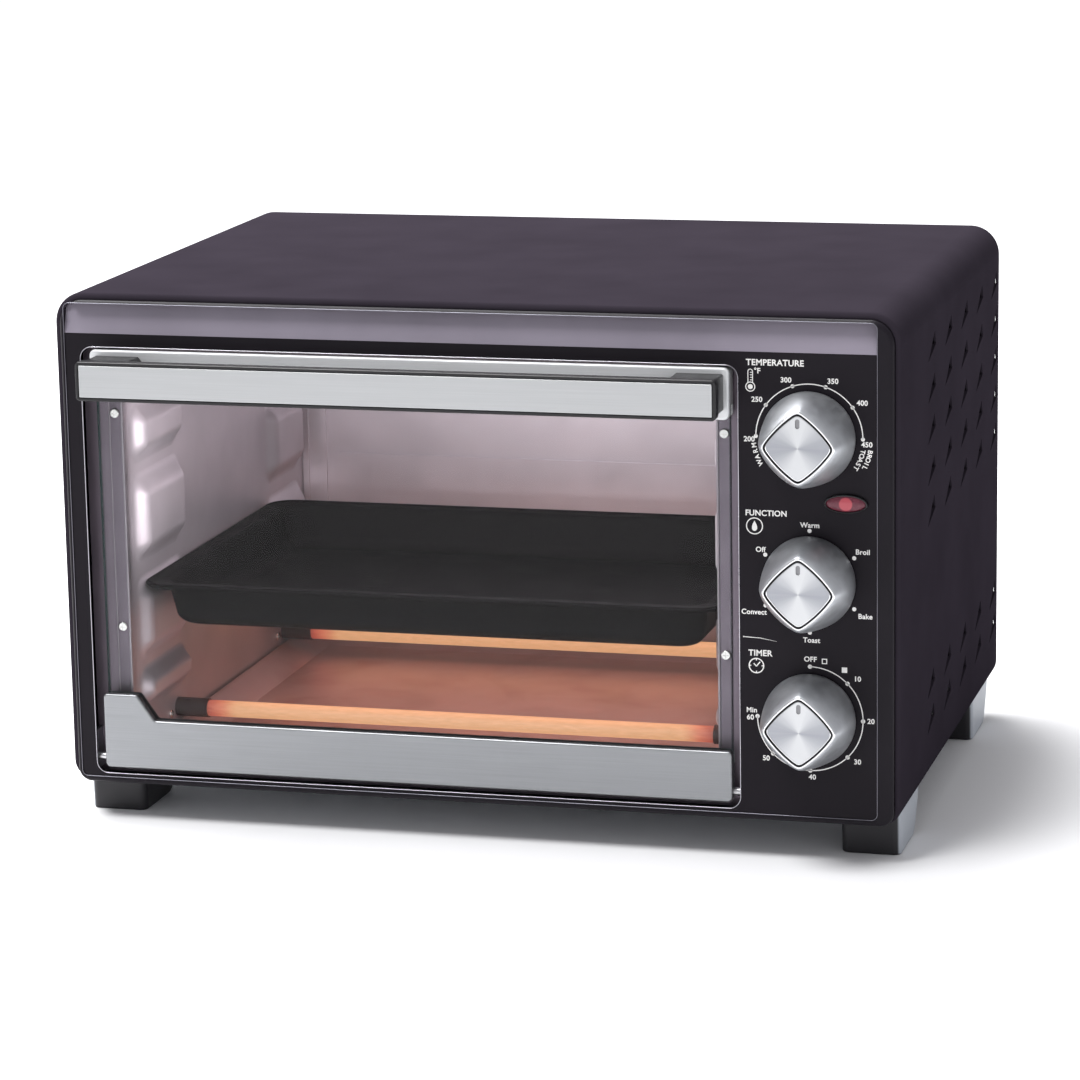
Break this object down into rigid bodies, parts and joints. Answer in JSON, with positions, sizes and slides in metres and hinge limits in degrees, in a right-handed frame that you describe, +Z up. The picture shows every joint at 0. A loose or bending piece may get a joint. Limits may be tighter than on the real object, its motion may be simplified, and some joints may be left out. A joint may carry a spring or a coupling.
{
  "type": "toaster oven",
  "caption": "Countertop toaster oven with a drop-down glass door, bar handle, knob controls, glowing quartz heaters, baking pan and crumb tray.",
  "frame": {"origin": "centre of the overall box at the height of the surface the feet stand on", "axes": "+X along the oven's width, to the right of a person facing the door; +Y from the door to the back; +Z up"},
  "size_m": [0.42, 0.325, 0.266],
  "materials": {
    "casing_paint": "fine powder-coat, charcoal",
    "bezel_paint": "satin black",
    "header_paint": "satin slate grey",
    "panel_paint": "satin black with white legends",
    "galvanised_steel": "galvanised",
    "black_plastic": "moulded, satin",
    "foot_plastic": "moulded, satin",
    "zinc_screws": "zinc plated",
    "bright_screws": "bright plated",
    "cavity_steel": "aluminised, matt",
    "tray_steel": "aluminised, satin",
    "quartz": "clear quartz, lit from inside",
    "heater_wire": "glowing resistance wire",
    "heater_ceramic": "dark unglazed ceramic",
    "control_body": "moulded phenolic",
    "bell_steel": "pressed steel",
    "lamp_red": "translucent red",
    "lamp_glass": "neon bulb",
    "motor_steel": "laminated stack",
    "door_glass": "clear tempered glass",
    "trim_aluminium": "fine satin",
    "trim_aluminium_dark": "fine satin",
    "handle_aluminium": "fine satin",
    "pan_enamel": "black non-stick enamel",
    "fan_aluminium": "rolled sheet",
    "shaft_steel": "turned",
    "knob_silver": "bead-blasted silver",
    "knob_face": "spun face"
  },
  "bodies": {
    "housing": {"outer_casing": "casing_paint", "front_bezel": "bezel_paint", "header_strip": "header_paint", "front_panel": "panel_paint", "base_pan": "galvanised_steel", "rear_cover": "casing_paint", "cord_inlet_bush": "black_plastic", "foot_front_left": "foot_plastic", "foot_front_right": "foot_plastic", "foot_rear_left": "foot_plastic", "foot_rear_right": "foot_plastic", "foot_screws": "zinc_screws", "cavity_left_wall": "cavity_steel", "cavity_right_wall": "cavity_steel", "rack_supports_left": "cavity_steel", "rack_supports_right": "cavity_steel", "cavity_back": "cavity_steel", "cavity_top": "cavity_steel", "cavity_floor": "cavity_steel", "cavity_front_flange": "cavity_steel", "crumb_tray": "tray_steel", "lower_heater_tubes": "quartz", "upper_heater_tubes": "quartz", "heater_coils": "heater_wire", "heater_end_caps": "heater_ceramic", "cavity_screws": "bright_screws", "hinge_brackets": "galvanised_steel", "thermostat": "control_body", "function_switch": "control_body", "timer_mechanism": "control_body", "timer_bell": "bell_steel", "control_screws": "zinc_screws", "lamp_lens": "lamp_red", "indicator_lamp": "lamp_glass", "fan_housing": "galvanised_steel", "fan_motor": "motor_steel", "terminal_block": "black_plastic", "rear_cover_screws": "zinc_screws"},
    "door": {"door_glass": "door_glass", "door_top_trim": "trim_aluminium", "door_bottom_trim": "trim_aluminium_dark", "handle_bar": "black_plastic", "handle_face_plate": "handle_aluminium", "handle_post_left": "black_plastic", "handle_post_right": "black_plastic", "handle_screws": "zinc_screws", "hinge_pins": "zinc_screws"},
    "pan": {"baking_pan": "pan_enamel"},
    "temperature_control": {"temperature_knob": "knob_silver", "temperature_knob_face": "knob_face", "temperature_shaft": "shaft_steel"},
    "function_control": {"function_knob": "knob_silver", "function_knob_face": "knob_face", "function_shaft": "shaft_steel"},
    "timer_control": {"timer_knob": "knob_silver", "timer_knob_face": "knob_face", "timer_shaft": "shaft_steel"},
    "fan": {"fan_blade": "fan_aluminium", "fan_shaft": "shaft_steel"}
  },
  "joints": [
    {"name": "door_hinge", "type": "hinge", "parent": "housing", "child": "door", "pos_m": [0, -0.1305, 0.0315], "axis": [1, 0, 0], "range_deg": [0, 90], "stiffness_Nm_per_rad": 0.05, "springref_deg": -171.89},
    {"name": "pan_slide", "type": "slide", "parent": "housing", "child": "pan", "axis": [0, -1, 0], "range_m": [0, 0.08]},
    {"name": "temperature_knob_turn", "type": "hinge", "parent": "housing", "child": "temperature_control", "pos_m": [0.1665, -0.1455, 0.2064], "axis": [0, 1, 0], "range_deg": [-125, 125]},
    {"name": "function_knob_turn", "type": "hinge", "parent": "housing", "child": "function_control", "pos_m": [0.1665, -0.1455, 0.1372], "axis": [0, 1, 0], "range_deg": [-60, 240]},
    {"name": "timer_knob_turn", "type": "hinge", "parent": "housing", "child": "timer_control", "pos_m": [0.1665, -0.1455, 0.0705], "axis": [0, 1, 0], "range_deg": [0, 270]},
    {"name": "fan_spin", "type": "hinge", "parent": "housing", "child": "fan", "pos_m": [0.13, -0.0005, 0.161], "axis": [1, 0, 0], "continuous": true}
  ],
  "couplings": [
    {"joint": "pan_slide", "follows": "door_hinge", "m_per_rad": 0.0509}
  ]
}
